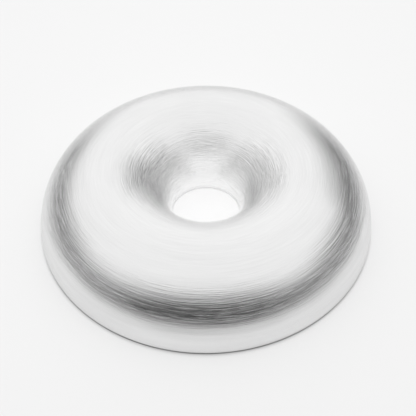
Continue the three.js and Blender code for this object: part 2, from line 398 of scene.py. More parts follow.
def brush_depth(nodes, spot):
    """How deep the brush lines are: shallow by the outer edge and on the crown, deepest in the hole."""
    x, y, section = spot
    crown = nodes.product(nodes.ramp(section, *CROWN_START), nodes.ramp(section, *CROWN_END))
    calm = nodes.product(nodes.ramp(y, *FRONT), nodes.ramp(section, *CALM_FRONT, 0.0, CALM_SHARE))
    return nodes.product(
        nodes.ramp(section, *OUTER_EDGE, OUTER_EDGE_DEPTH, 1.0),
        nodes.math("SUBTRACT", 1.0, calm),
        nodes.ramp(nodes.math("ABSOLUTE", x), *SIDES, 1.0, SIDE_DEPTH),
        nodes.ramp(section, *INNER_WALL, 1.0, INNER_WALL_DEPTH),
        nodes.mix(crown, 1.0, CROWN_DEPTH),
    )


def tone_and_painted_light(nodes, spot, grain):
    """How light the metal is: even outside, with painted reflection streaks on the hole's side walls and
    painted light on its near lip.
    """
    x, y, section = spot
    even = nodes.ramp(grain, *NOISE, *SHELL_TONE, smooth=False)
    # Painted reflection: brush-line streaks put into the colour of the hole's side walls only.
    painted_streaks = nodes.ramp(streaks(nodes, spot, **PAINTED_STREAK_LINES), *NOISE, *PAINTED_STREAK_TONE, smooth=False)
    painted_streak_sides = nodes.product(
        nodes.ramp(section, *PAINTED_STREAK_WALL),
        nodes.ramp(nodes.math("ABSOLUTE", x), *SIDES),
    )
    # Painted light: the near lip, on the front side, is made lighter where it would look shaded.
    lip = nodes.product(nodes.ramp(section, *NEAR_LIP), nodes.ramp(y, *FRONT))
    return nodes.math("ADD", nodes.mix(painted_streak_sides, even, painted_streaks), nodes.product(lip, PAINTED_LIP_LIGHT))


def brushed_shell_material():
    """Brushed aluminium: fine lines cut round the axis, which spread the gloss across them."""
    material, nodes, surface = new_material("brushed_shell")
    x, y, radius, height = around_axis(nodes)
    section = nodes.math("ARCTAN2", height, nodes.math("SUBTRACT", radius, CROWN_RADIUS))
    spot = (x, y, section)
    hairlines = streaks(nodes, spot, **HAIRLINES)
    long_lines = streaks(nodes, spot, **LONG_LINES)
    dashes = streaks(nodes, spot, **DASHES)
    grain = nodes.mix(DASH_SHARE, hairlines, dashes)
    dullness = nodes.mix(0.5, grain, streaks(nodes, spot, **BROAD_BANDS))
    roughness = nodes.ramp(dullness, *MIDDLE_NOISE, *SHELL_ROUGHNESS, smooth=False)
    nodes.plug(nodes.grey(tone_and_painted_light(nodes, spot, grain)), surface.inputs["Base Color"])
    nodes.plug(roughness, surface.inputs["Roughness"])
    surface.inputs["Metallic"].default_value = 1.0

    # The tangent runs along the brush lines, and a quarter turn sets the wider gloss across them.
    position = nodes.add("ShaderNodeNewGeometry").outputs["Position"]
    along_lines = nodes.vector("CROSS_PRODUCT", (0.0, 0.0, 1.0), position)
    nodes.plug(along_lines, surface.inputs["Tangent"])
    surface.inputs["Anisotropic"].default_value = SHELL_ANISOTROPY
    surface.inputs["Anisotropic Rotation"].default_value = QUARTER_TURN

    grooves = nodes.product(hairlines, HAIRLINE_HEIGHT)
    grooves = nodes.math("ADD", grooves, nodes.product(long_lines, LINE_HEIGHT))
    grooves = nodes.math("ADD", grooves, nodes.product(dashes, DASH_HEIGHT))
    raise_surface(nodes, surface, nodes.product(grooves, brush_depth(nodes, spot)), BRUSH_RELIEF)
    return material


def arc_points(centre, radius, start, end, steps):
    """Points (radius from axis, height) on an arc, both ends included, angles in radians."""
    turns = [start + (end - start) * i / steps for i in range(steps + 1)]
    return [(centre[0] + radius * math.cos(t), centre[1] + radius * math.sin(t)) for t in turns]


def shell_profile():
    """The shell's section, closed: outside arc, rounded inner edge, underside arc, rounded outer edge."""
    half = SHELL_THICKNESS / 2
    middle = SECTION_RADIUS - half
    lift = BENCH_GAP + half
    trim = math.asin(lift / middle)
    centre = (CROWN_RADIUS, 0.0)
    outer_edge = (CROWN_RADIUS + middle * math.cos(trim), lift)
    inner_edge = (CROWN_RADIUS - middle * math.cos(trim), lift)
    outside = arc_points(centre, SECTION_RADIUS, trim, math.pi - trim, OUTSIDE_STEPS)
    inner_round = arc_points(inner_edge, half, math.pi - trim, 2 * math.pi - trim, EDGE_STEPS)
    inside = arc_points(centre, SECTION_RADIUS - SHELL_THICKNESS, math.pi - trim, trim, INSIDE_STEPS)
    outer_round = arc_points(outer_edge, half, math.pi + trim, 2 * math.pi + trim, EDGE_STEPS)
    return outside[:-1] + inner_round[:-1] + inside[:-1] + outer_round[:-1]


def turned_mesh(name, profile, turns):
    """A mesh of the closed profile turned round the Z axis, with its faces pointing out."""
    count = len(profile)
    vertices = []
    for i in range(turns):
        angle = 2 * math.pi * i / turns
        vertices += [(r * math.cos(angle), r * math.sin(angle), z) for r, z in profile]
    faces = []
    for i in range(turns):
        here = i * count
        there = (i + 1) % turns * count
        for j in range(count):
            k = (j + 1) % count
            faces.append((here + j, there + j, there + k, here + k))
    mesh = bpy.data.meshes.new(name)
    mesh.from_pydata(vertices, [], faces)
    mesh.shade_smooth()
    mesh.update()
    return mesh


def add_object(name, data):
    made = bpy.data.objects.new(name, data)
    bpy.context.scene.collection.objects.link(made)
    return made


def make_shell():
    """The brushed shell, in place of its node."""
    mesh = turned_mesh("brushed_head_shell", shell_profile(), SHELL_TURNS)
    stand_in("head_shell", add_object("brushed_head_shell", mesh), brushed_shell_material())


# ---------------------------------------------------------------- materials under the shell


def lathe_lines(nodes, fineness):
    """Fine lines round the axis, as turning or grinding leaves them: fineness is in lines per metre."""
    x, y, radius, height = around_axis(nodes)
    spot = (x, y, nodes.math("ADD", radius, height))
    return streaks(nodes, spot, LATHE_ARC, fineness, detail=2.0, roughness=0.6)


def object_noise(nodes, size, detail=3.0):
    """Noise whose features are about size metres across."""
    return nodes.noise(nodes.place(), detail, 0.55, scale=1.0 / size)


def cast_iron(name, machined_height):
    """A grainy black casting, whose flat faces from machined_height up are turned bright."""
    material, nodes, surface = new_material(name)
    dark = (0.028, 0.029, 0.031)
    worn = (0.06, 0.06, 0.062)
    turned_dark = (0.2, 0.2, 0.205)
    turned_light = (0.34, 0.34, 0.345)
    grains = object_noise(nodes, 0.9 * MM, detail=4.0)
    lumps = object_noise(nodes, 6.0 * MM)
    lines = lathe_lines(nodes, 3500.0)

    height = nodes.separate(nodes.place())[2]
    upwards = nodes.separate(nodes.add("ShaderNodeNewGeometry").outputs["True Normal"])[2]
    machined = nodes.product(
        nodes.ramp(nodes.math("ABSOLUTE", upwards), 0.97, 0.995),
        nodes.ramp(height, machined_height - 0.3 * MM, machined_height - 0.1 * MM),
    )
    skin = nodes.tint(nodes.ramp(lumps, *MIDDLE_NOISE), dark, worn)
    turned = nodes.tint(nodes.ramp(lines, *NOISE), turned_dark, turned_light)
    nodes.plug(nodes.blend_colours(machined, skin, turned), surface.inputs["Base Color"])
    nodes.plug(nodes.mix(machined, 0.75, 1.0), surface.inputs["Metallic"])
    rough_skin = nodes.ramp(grains, *NOISE, 0.5, 0.78, smooth=False)
    rough_turned = nodes.ramp(lines, *NOISE, 0.24, 0.38, smooth=False)
    nodes.plug(nodes.mix(machined, rough_skin, rough_turned), surface.inputs["Roughness"])
    relief = nodes.mix(machined, nodes.math("ADD", grains, lumps), nodes.product(lines, 0.15))
    raise_surface(nodes, surface, relief, 0.12 * MM)
    return material


def zinc_steel(name):
    """Bright zinc plating: a bluish grey that turns a little yellow in patches, with a fine grain."""
    material, nodes, surface = new_material(name)
    bluish = (0.52, 0.55, 0.6)
    yellowed = (0.66, 0.65, 0.58)
    patches = object_noise(nodes, 9.0 * MM)
    grain = object_noise(nodes, 0.4 * MM)
    colour = nodes.tint(nodes.ramp(patches, *MIDDLE_NOISE), bluish, yellowed)
    roughness = nodes.ramp(nodes.mix(0.5, patches, grain), *MIDDLE_NOISE, 0.24, 0.42, smooth=False)
    nodes.plug(colour, surface.inputs["Base Color"])
    nodes.plug(roughness, surface.inputs["Roughness"])
    surface.inputs["Metallic"].default_value = 1.0
    raise_surface(nodes, surface, grain, 0.02 * MM)
    return material


def ground_steel():
    """Bearing steel, ground round the axis, with a slightly darker band here and there."""
    material, nodes, surface = new_material("ground_bearing_steel")
    dark = (0.44, 0.45, 0.47)
    light = (0.6, 0.6, 0.61)
    lines = lathe_lines(nodes, 6000.0)
    bands = lathe_lines(nodes, 700.0)
    nodes.plug(nodes.tint(nodes.ramp(bands, *NOISE), dark, light), surface.inputs["Base Color"])
    nodes.plug(nodes.ramp(lines, *NOISE, 0.12, 0.26, smooth=False), surface.inputs["Roughness"])
    surface.inputs["Metallic"].default_value = 1.0
    raise_surface(nodes, surface, lines, 0.006 * MM)
    return material


def polished_steel():
    """Polished balls with a faint haze of wear."""
    material, nodes, surface = new_material("polished_ball_steel")
    clear = (0.56, 0.57, 0.59)
    hazy = (0.68, 0.68, 0.69)
    haze = object_noise(nodes, 2.5 * MM)
    nodes.plug(nodes.tint(haze, clear, hazy), surface.inputs["Base Color"])
    nodes.plug(nodes.ramp(haze, *MIDDLE_NOISE, 0.03, 0.1), surface.inputs["Roughness"])
    surface.inputs["Metallic"].default_value = 1.0
    return material


def brass():
    """Turned brass, dulled in patches."""
    material, nodes, surface = new_material("turned_brass")
    clean = (0.7, 0.47, 0.19)
    tarnished = (0.42, 0.27, 0.11)
    lines = lathe_lines(nodes, 4000.0)
    tarnish = object_noise(nodes, 5.0 * MM)
    roughness = nodes.ramp(nodes.mix(0.6, lines, tarnish), *MIDDLE_NOISE, 0.2, 0.42, smooth=False)
    nodes.plug(nodes.tint(nodes.ramp(tarnish, 0.4, 0.7), clean, tarnished), surface.inputs["Base Color"])
    nodes.plug(roughness, surface.inputs["Roughness"])
    surface.inputs["Metallic"].default_value = 1.0
    raise_surface(nodes, surface, lines, 0.012 * MM)
    return material


def rubber():
    """Moulded black rubber, matt, with a fine speckle and a dusty bloom."""
    material, nodes, surface = new_material("black_rubber")
    black = (0.012, 0.012, 0.012)
    dusty = (0.032, 0.031, 0.03)
    speckle = object_noise(nodes, 0.35 * MM)
    bloom = object_noise(nodes, 4.0 * MM)
    nodes.plug(nodes.tint(nodes.ramp(bloom, 0.4, 0.75), black, dusty), surface.inputs["Base Color"])
    nodes.plug(nodes.ramp(speckle, *NOISE, 0.68, 0.92, smooth=False), surface.inputs["Roughness"])
    raise_surface(nodes, surface, speckle, 0.04 * MM)
    return material


# ---------------------------------------------------------------- pieces under the shell


def node_radii(node):
    """The smallest and largest distance of a CAD node's corners from the wheel's axis."""
    radii = [math.hypot(corner.co.x, corner.co.y) for corner in frame["nodes"][node].data.vertices]
    return min(radii), max(radii)


def node_heights(node):
    """The height of a CAD node's bottom and of its top."""
    low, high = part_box(node)
    return low.z, high.z


def node_names(stem):
    """The numbered nodes of a repeated piece."""
    return sorted(name for name in frame["nodes"] if name.rstrip("0123456789") == stem + "_")


def rounded(corners):
    """A closed outline (radius, height) from corners (radius, height, fillet), each fillet an arc."""
    outline = []
    for i, (x, y, fillet) in enumerate(corners):
        here = Vector((x, y))
        if not fillet:
            outline.append((x, y))
            continue
        before = (Vector(corners[i - 1][:2]) - here).normalized()
        after = (Vector(corners[(i + 1) % len(corners)][:2]) - here).normalized()
        half = before.angle(after) / 2
        centre = here + (before + after).normalized() * (fillet / math.sin(half))
        start = here + before * (fillet / math.tan(half)) - centre
        end = here + after * (fillet / math.tan(half)) - centre
        first = math.atan2(start.y, start.x)
        sweep = (math.atan2(end.y, end.x) - first + math.pi) % (2 * math.pi) - math.pi
        outline += arc_points(centre, fillet, first, first + sweep, FILLET_STEPS)
    return outline


def chamfered_ring(node, chamfer, fillet):
    """The outline of a flat ring with chamfered edges, from the node's own radii and heights."""
    inner, outer = node_radii(node)
    bottom, top = node_heights(node)
    corners = [
        (inner + chamfer, bottom),
        (outer - chamfer, bottom),
        (outer, bottom + chamfer),
        (outer, top - chamfer),
        (outer - chamfer, top),
        (inner + chamfer, top),
        (inner, top - chamfer),
        (inner, bottom + chamfer),
    ]
    return rounded([(*corner, fillet) for corner in corners])


def ring(radius, height):
    """Points round the Z axis. The radius is a number, or a function of the angle."""
    points = []
    for i in range(SMALL_TURNS):
        turn = 2 * math.pi * i / SMALL_TURNS
        reach = radius(turn) if callable(radius) else radius
        points.append((reach * math.cos(turn), reach * math.sin(turn), height))
    return points


def axis_point(height):
    """A ring of one point, which closes a loft on the Z axis."""
    return [(0.0, 0.0, height)]


def lofted_mesh(name, rings, closed=False):
    """A mesh through rings of points. An end on the axis is a ring of one point."""
    vertices = [point for points in rings for point in points]
    starts = [sum(len(points) for points in rings[:i]) for i in range(len(rings))]
    around = max(len(points) for points in rings)

    def corner(i, j):
        return starts[i] + (j % around if len(rings[i]) > 1 else 0)

    faces = []
    for i in range(len(rings) if closed else len(rings) - 1):
        k = (i + 1) % len(rings)
        for j in range(around):
            face = (corner(i, j), corner(i, j + 1), corner(k, j + 1), corner(k, j))
            faces.append(tuple(dict.fromkeys(face)))
    mesh = bpy.data.meshes.new(name)
    mesh.from_pydata(vertices, [], faces)
    mesh.update()
    return mesh


def spread_mesh(mesh, places):
    """One mesh, made of a copy of the given mesh at each placement."""
    joined = bmesh.new()
    for place in places:
        copy = mesh.copy()
        copy.transform(place)
        joined.from_mesh(copy)
        bpy.data.meshes.remove(copy)
    joined.to_mesh(mesh)
    joined.free()
    return mesh


def circle_places(nodes):
    """Placements at each node's centre on the wheel, turned to face outwards, at bench height."""
    places = []
    for node in nodes:
        low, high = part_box(node)
        middle = (low + high) / 2
        turn = Matrix.Rotation(math.atan2(middle.y, middle.x), 4, "Z")
        places.append(Matrix.Translation((middle.x, middle.y, 0.0)) @ turn)
    return places


def hole_cutter(steps, nodes):
    """Stepped round holes at each node's centre. Each step is (radius, height), from the bottom up."""
    rings = [ring(radius, height) for radius, height in steps]
    drill = lofted_mesh("cutter", [axis_point(steps[0][1])] + rings + [axis_point(steps[-1][1])])
    return spread_mesh(drill, circle_places(nodes))


def pocket_cutter(nodes):
    """A radial hole through the cage at each ball."""
    reach = CAGE_CUT_REACH
    ends = [ring(POCKET_RADIUS, -reach), ring(POCKET_RADIUS, reach)]
    drill = lofted_mesh("cutter", [axis_point(-reach)] + ends + [axis_point(reach)])
    lift = Matrix.Translation((0.0, 0.0, sum(node_heights(nodes[0])) / 2))
    outwards = lift @ Matrix.Rotation(math.pi / 2, 4, "Y")
    return spread_mesh(drill, [place @ outwards for place in circle_places(nodes)])


def settled(piece):
    """The piece with its modifiers applied."""
    graph = bpy.context.evaluated_depsgraph_get()
    finished = piece.evaluated_get(graph)
    mesh = bpy.data.meshes.new_from_object(finished, preserve_all_data_layers=True, depsgraph=graph)
    piece.modifiers.clear()
    piece.data = mesh
    return piece


def cut_holes(piece, cutter_mesh):
    """Takes the cutter's shape out of the piece."""
    cutter = add_object("cutter", cutter_mesh)
    modifier = piece.modifiers.new("holes", "BOOLEAN")
    modifier.operation = "DIFFERENCE"
    modifier.solver = "EXACT"
    modifier.object = cutter
    settled(piece)
    bpy.data.objects.remove(cutter)


def smooth_faces(piece):
    """Curved faces look round, flat faces stay flat, and edges sharper than SHARP_EDGE stay crisp."""
    piece.data.shade_smooth()
    piece.data.set_sharp_from_angle(angle=SHARP_EDGE)
    piece.modifiers.new("flat_faces", "WEIGHTED_NORMAL").keep_sharp = True
    return settled(piece)


def stand_in(node, piece, material):
    """Gives the piece its material and its node's body, and hides the node."""
    piece.data.materials.clear()
    piece.data.materials.append(material)
    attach(piece, NODE_BODY[node])
    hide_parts(node)


def turned_piece(node, profile, material, cutters=()):
    """A fine ring in place of a node: its profile turned round the axis, with its holes cut out."""
    piece = add_object("fine_" + node, turned_mesh("fine_" + node, profile, RING_TURNS))
    for cutter in cutters:
        cut_holes(piece, cutter)
    stand_in(node, smooth_faces(piece), material)


def repeated_piece(nodes, mesh, material):
    """A copy of the mesh for each node, standing on the node's lowest point."""
    model = smooth_faces(add_object("fine_" + nodes[0], mesh))
    for node, place in zip(nodes, circle_places(nodes)):
        piece = model if node == nodes[0] else add_object("fine_" + node, model.data.copy())
        piece.matrix_world = Matrix.Translation((0.0, 0.0, node_heights(node)[0])) @ place
        stand_in(node, piece, material)


def screw_holes(bottom, top):
    """Steps of a counterbored hole, open underneath, for a socket screw whose head is let in flush."""
    head_room = SOCKET_SCREW["head"] + CLEARANCE
    shank_room = SOCKET_SCREW["shank"] + CLEARANCE
    seat = bottom + SOCKET_SCREW["head_height"] + CLEARANCE
    return [
        (head_room + LEAD_IN, bottom - OVERCUT),
        (head_room + LEAD_IN, bottom),
        (head_room, bottom + LEAD_IN),
        (head_room, seat),
        (shank_room, seat),
        (shank_room, top + OVERCUT),
    ]


def plain_holes(shank, bottom, top):
    """Steps of a clearance hole right through a piece."""
    return [(shank + CLEARANCE, bottom - OVERCUT), (shank + CLEARANCE, top + OVERCUT)]


def make_base_ring(material):
    """The base: a heavy chamfered ring, with a raised land that the inner race sits on."""
    inner, outer = node_radii("base_ring")
    bottom, land_top = node_heights("base_ring")
    top = bottom + BASE_THICKNESS
    land_inner = node_radii("inner_race")[0]
    land_outer = node_radii("inner_race")[1] - BASE_CHAMFER
    corners = [
        (inner + BASE_CHAMFER, bottom, BASE_FILLET),
        (outer - BASE_CHAMFER, bottom, BASE_FILLET),
        (outer, bottom + BASE_CHAMFER, BASE_FILLET),
        (outer, top - BASE_CHAMFER, BASE_FILLET),
        (outer - BASE_CHAMFER, top, BASE_FILLET),
        (land_outer, top, BASE_FILLET),
        (land_outer, land_top, EDGE_FILLET),
        (land_inner, land_top, EDGE_FILLET),
        (land_inner, top, BASE_FILLET),
        (inner + BASE_CHAMFER, top, BASE_FILLET),
        (inner, top - BASE_CHAMFER, BASE_FILLET),
        (inner, bottom + BASE_CHAMFER, BASE_FILLET),
    ]
    cutters = [
        hole_cutter(screw_holes(bottom, land_top), node_names("inner_race_screw")),
        hole_cutter(plain_holes(FOOT_SCREW["shank"], bottom, top), node_names("foot_screw")),
    ]
    turned_piece("base_ring", rounded(corners), material, cutters)


def groove_corners(side):
    """The ball groove of a race, as corners in order round its section: side is -1 inside, 1 outside."""
    half = math.acos(SHOULDER_GAP / GROOVE_RADIUS)
    middle = 0.0 if side > 0 else math.pi
    centre = (CROWN_RADIUS, sum(node_heights("ball_01")) / 2)
    points = arc_points(centre, GROOVE_RADIUS, middle + half, middle - half, GROOVE_STEPS)
    return [(*point, 0) for point in points]


def make_inner_race(material):
    """The still race: screw holes are tapped from below, and the groove faces outwards."""
    inner, lip = node_radii("inner_race")
    bottom, top = node_heights("inner_race")
    corners = [
        (inner, bottom, EDGE_FILLET),
        (lip, bottom, EDGE_FILLET),
        *groove_corners(-1),
        (lip, top, EDGE_FILLET),
        (inner, top, EDGE_FILLET),
    ]
    tapped = SOCKET_SCREW["shank"] + CLEARANCE
    holes = [(tapped, bottom - OVERCUT), (tapped, bottom + TAPPED_DEPTH)]
    cutters = [hole_cutter(holes, node_names("inner_race_screw"))]
    turned_piece("inner_race", rounded(corners), material, cutters)


def make_outer_race(material):
    """The turning race: screw heads are let in from below, and the groove faces inwards."""
    lip, outer = node_radii("outer_race")
    bottom, top = node_heights("outer_race")
    corners = [
        (lip, bottom, EDGE_FILLET),
        (outer, bottom, EDGE_FILLET),
        (outer, top, EDGE_FILLET),
        (lip, top, EDGE_FILLET),
        *groove_corners(1),
    ]
    cutters = [hole_cutter(screw_holes(bottom, top), node_names("outer_race_screw"))]
    turned_piece("outer_race", rounded(corners), material, cutters)


def make_cage(material):
    """The ring that spaces the balls, with a round pocket for each."""
    inner, outer = node_radii("ball_cage")
    bottom, top = node_heights("ball_cage")
    corners = [(inner, bottom), (outer, bottom), (outer, top), (inner, top)]
    profile = rounded([(*corner, EDGE_FILLET) for corner in corners])
    turned_piece("ball_cage", profile, material, [pocket_cutter(node_names("ball"))])


def ball_mesh(radius):
    """A ball from a cube whose faces are divided and pushed out, so that it has no poles."""
    ball = bmesh.new()
    bmesh.ops.create_cube(ball, size=1.0)
    bmesh.ops.subdivide_edges(ball, edges=ball.edges, cuts=BALL_CUTS, use_grid_fill=True)
    for corner in ball.verts:
        corner.co = corner.co.normalized() * radius + Vector((0.0, 0.0, radius))
    mesh = bpy.data.meshes.new("ball")
    ball.to_mesh(mesh)
    ball.free()
    return mesh


def make_plate(material):
    """The flat ring that carries the outer race, the ballast and the shell's studs."""
    bottom, top = node_heights("head_plate")
    cutters = [
        hole_cutter(plain_holes(SOCKET_SCREW["shank"], bottom, top), node_names("outer_race_screw")),
        hole_cutter(plain_holes(STUD_SHANK, bottom, top), node_names("stud_nut")),
    ]
    profile = chamfered_ring("head_plate", PLATE_CHAMFER, PLATE_FILLET)
    turned_piece("head_plate", profile, material, cutters)


def make_ballast(material):
    """The heavy ring clamped between the plate and the studs' shoulders."""
    bottom, top = node_heights("ballast_ring")
    cutters = [hole_cutter(plain_holes(STUD_SHANK, bottom, top), node_names("stud_nut"))]
    profile = chamfered_ring("ballast_ring", BALLAST_CHAMFER, BASE_FILLET)
    turned_piece("ballast_ring", profile, material, cutters)


def hexagon(corner_radius):
    """The radius of a hexagon, as a function of the angle, with a corner at angle zero."""
    sixth = math.pi / 3
    return lambda turn: corner_radius * math.cos(sixth / 2) / math.cos(turn % sixth - sixth / 2)


def knurled(radius):
    """A straight knurl: one tooth for every second point of a ring."""
    return lambda turn: radius - KNURL_DEPTH * (0.5 - 0.5 * math.cos(turn * SMALL_TURNS / 2))


def thread_rings(crest, pitch, low, high, side=-1):
    """Rings of a helical thread between two heights: side is -1 on a shank, 1 in a nut."""
    depth = THREAD_DEPTH * pitch
    count = max(1, round((high - low) / pitch * THREAD_STEPS))
    rings = []
    for i in range(count + 1):
        height = low + (high - low) * i / count

        def radius(turn, height=height):
            wave = abs(2 * ((height / pitch - turn / (2 * math.pi)) % 1.0) - 1)
            return crest + side * depth * min(max(THREAD_SLOPE * wave - THREAD_FLAT, 0.0), 1.0)

        rings.append(ring(radius, height))
    return rings


def screw_mesh(name, sizes, length):
    """A screw standing on its head: hexagon socket, knurled or plain head, and thread."""
    head = sizes["head"]
    head_height = sizes["head_height"]
    shank = sizes["shank"]
    socket = sizes["socket"]
    depth = sizes["depth"]
    pitch = sizes["pitch"]
    edge = sizes["edge"]
    side = knurled(head) if sizes["knurled"] else head
    rings = [
        axis_point(depth + LEAD_IN),
        ring(hexagon(socket * SOCKET_CONE), depth + LEAD_IN / 2),
        ring(hexagon(socket), depth),
        ring(hexagon(socket), LEAD_IN),
        ring(socket + LEAD_IN / 2, 0.0),
        ring(head - edge, 0.0),
        ring(head - edge * ROUND_MIDDLE, edge * ROUND_MIDDLE),
        ring(head, edge),
        ring(side, edge * KNURL_START),
        ring(side, head_height - edge * KNURL_END),
        ring(head - edge * ROUND_MIDDLE, head_height),
        ring(shank + LEAD_IN, head_height),
        ring(shank, head_height + LEAD_IN),
    ]
    rings += thread_rings(shank, pitch, head_height + pitch * THREAD_START, length - pitch)
    rings += [ring(shank - THREAD_DEPTH * pitch, length), axis_point(length)]
    return lofted_mesh(name, rings)


def nut_mesh(name, height):
    """A hexagon nut whose corners are turned off at both faces, with a thread in its bore."""
    corner = NUT_FLATS / 2 / math.cos(math.pi / 6)
    face = NUT_FLATS / 2 * NUT_FACE
    outline = hexagon(corner)
    bore = STUD_SHANK + CLEARANCE
    cone = (corner - face) * math.tan(NUT_CHAMFER)
    depths = [cone * i / NUT_CHAMFER_STEPS for i in range(NUT_CHAMFER_STEPS + 1)]

    def turned_off(depth):
        limit = face + depth / math.tan(NUT_CHAMFER)
        return lambda turn: min(outline(turn), limit)

    rings = [ring(bore + LEAD_IN, 0.0)]
    rings += [ring(turned_off(depth), depth) for depth in depths]
    rings += [ring(turned_off(depth), height - depth) for depth in reversed(depths)]
    rings += [ring(bore + LEAD_IN, height)]
    rings += thread_rings(bore, STUD_PITCH, LEAD_IN, height - LEAD_IN, side=1)[::-1]
    return lofted_mesh(name, rings, closed=True)


def stud_mesh(name, node):
    """A shouldered stud, threaded at its lower end, with its top trimmed to the shell's curve."""
    low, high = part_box(node)
    middle = (low + high) / 2
    circle = math.hypot(middle.x, middle.y)
    shoulder = node_heights("ballast_ring")[1] - low.z
    top = high.z - low.z
    rings = [axis_point(0.0), ring(STUD_SHANK - THREAD_DEPTH * STUD_PITCH, 0.0)]
    rings += thread_rings(STUD_SHANK, STUD_PITCH, LEAD_IN, STUD_THREAD)
    rings += [
        ring(STUD_SHANK, STUD_THREAD + STUD_PITCH),
        ring(STUD_SHANK, shoulder),
        ring(STUD_SHOULDER - LEAD_IN, shoulder),
        ring(STUD_SHOULDER, shoulder + LEAD_IN),
    ]
    rings += [ring(STUD_SHOULDER * share, top) for share in STUD_TOP_RINGS]
    mesh = lofted_mesh(name, rings + [axis_point(top)])
    room = SECTION_RADIUS - SHELL_THICKNESS - CLEARANCE
    for corner in mesh.vertices:
        across = math.hypot(circle + corner.co.x, corner.co.y) - CROWN_RADIUS
        corner.co.z = min(corner.co.z, math.sqrt(room * room - across * across) - low.z)
    return mesh


def foot_mesh(name):
    """A rubber foot: rounded rim, grip grooves underneath, and a recess for the screw's head."""
    corners = [(FOOT_RECESS, 0.0, EDGE_FILLET)]
    for groove in FOOT_GROOVES:
        near = groove - GRIP_WIDTH / 2
        far = groove + GRIP_WIDTH / 2
        corners += [(near, 0.0, GRIP_FILLET), (near, GRIP_DEPTH, GRIP_FILLET)]
        corners += [(far, GRIP_DEPTH, GRIP_FILLET), (far, 0.0, GRIP_FILLET)]
    height = node_heights("rubber_foot_1")[1]
    hole = FOOT_SCREW["shank"] + CLEARANCE
    corners += [
        (FOOT_RADIUS, 0.0, FOOT_FILLET),
        (FOOT_RADIUS, height, EDGE_FILLET),
        (hole, height, GRIP_FILLET),
        (hole, FOOT_RECESS_DEPTH, GRIP_FILLET),
        (FOOT_RECESS, FOOT_RECESS_DEPTH, GRIP_FILLET),
    ]
    return turned_mesh(name, rounded(corners), 2 * SMALL_TURNS)


def make_screws(stem, sizes, material):
    nodes = node_names(stem)
    low, high = node_heights(nodes[0])
    repeated_piece(nodes, screw_mesh(stem, sizes, high - low), material)


def make_hidden_pieces():
    """Every piece under the shell, each in place of its node."""
    races = ground_steel()
    fasteners = zinc_steel("zinc_fasteners")
    make_base_ring(cast_iron("cast_iron_base", node_heights("base_ring")[1]))
    make_inner_race(races)
    make_outer_race(races)
    make_cage(brass())
    make_plate(zinc_steel("zinc_plate"))
    make_ballast(cast_iron("cast_iron_ballast", node_heights("ballast_ring")[0]))
    make_screws("inner_race_screw", SOCKET_SCREW, fasteners)
    make_screws("outer_race_screw", SOCKET_SCREW, fasteners)
    make_screws("foot_screw", FOOT_SCREW, fasteners)
    low, high = node_heights("stud_nut_1")
    repeated_piece(node_names("stud_nut"), nut_mesh("stud_nut", high - low), fasteners)
    repeated_piece(node_names("shell_stud"), stud_mesh("shell_stud", "shell_stud_1"), fasteners)
    repeated_piece(node_names("rubber_foot"), foot_mesh("rubber_foot"), rubber())
    low, high = node_heights("ball_01")
    repeated_piece(node_names("ball"), ball_mesh((high - low) / 2), polished_steel())


# ---------------------------------------------------------------- studio


def paper_glow(nodes, radius, painted_reflection_shade, mirrored):
    """How much the paper glows: painted light in the hole and most under the shell's inner rim, none under
    the ballast as painted shade, and white far off, where only the camera sees it."""
    # Painted light in the hole: a pool of glow, raised further for mirrored rays as painted reflection.
    hole = nodes.mix(mirrored, HOLE_PAINTED_GLOW, HOLE_PAINTED_REFLECTION)
    # Painted light under the shell's inner rim, then no glow further under the shell: painted shade there.
    inside = nodes.mix(nodes.ramp(radius, HOLE_RADIUS, HOLE_RADIUS + MM), hole, RIM_PAINTED_GLOW)
    under = nodes.mix(nodes.ramp(radius, *PAINTED_SHADE_FADE), inside, 0.0)
    glow = nodes.mix(nodes.ramp(radius, HEAD_RADIUS - RIM_FADE, HEAD_RADIUS), under, PAPER_GLOW)
    far = nodes.product(nodes.ramp(radius, *FAR_REACH), nodes.ray("Is Camera Ray"))
    return nodes.mix(far, nodes.mix(painted_reflection_shade, glow, 0.0), FAR_GLOW)


def make_floor():
    """A light table: white paper that also glows a little, so that the object has almost no shadow. Beyond
    an oval round the wheel, mirrored rays see the paper dark and unlit: painted reflection shade."""
    mesh = bpy.data.meshes.new("studio_floor")
    mesh.from_pydata(ring(FLOOR_RADIUS, 0.0), [], [tuple(range(SMALL_TURNS))])
    floor = add_object("studio_floor", mesh)
    material, nodes, surface = new_material("studio_paper")
    x, y, _ = nodes.separate(nodes.place())
    mirrored = nodes.ray("Is Glossy Ray")
    distance = nodes.length(nodes.product(x, TABLE_NARROW), nodes.math("SUBTRACT", y, TABLE_MIDDLE))
    # Painted reflection shade: beyond the oval, mirrored rays see the paper dark and unlit.
    painted_reflection_shade = nodes.product(nodes.ramp(distance, *TABLE_EDGE), mirrored)
    glow = paper_glow(nodes, nodes.length(x, y), painted_reflection_shade, mirrored)
    nodes.plug(nodes.grey(nodes.mix(painted_reflection_shade, PAPER_ALBEDO, PAINTED_REFLECTION_ALBEDO)), surface.inputs["Base Color"])
    nodes.plug(glow, surface.inputs["Emission Strength"])
    surface.inputs["Emission Color"].default_value = (1.0, 1.0, 1.0, 1.0)
    surface.inputs["Roughness"].default_value = 1.0
    surface.inputs["Specular IOR Level"].default_value = 0.0
    mesh.materials.append(material)


def ceiling_share(nodes, direction):
    """How far a direction is inside the ceiling of light, which ends in front and at both sides."""
    return nodes.product(
        nodes.ramp(nodes.dot(direction, (0.0, CEILING_FRONT_SLOPE, 1.0)), *CEILING_FRONT_FADE),
        nodes.ramp(nodes.dot(direction, (CEILING_LEFT_SLOPE, 0.0, 1.0)), *CEILING_SIDE_FADE),
        nodes.ramp(nodes.dot(direction, (-CEILING_RIGHT_SLOPE, 0.0, 1.0)), *CEILING_SIDE_FADE),
    )


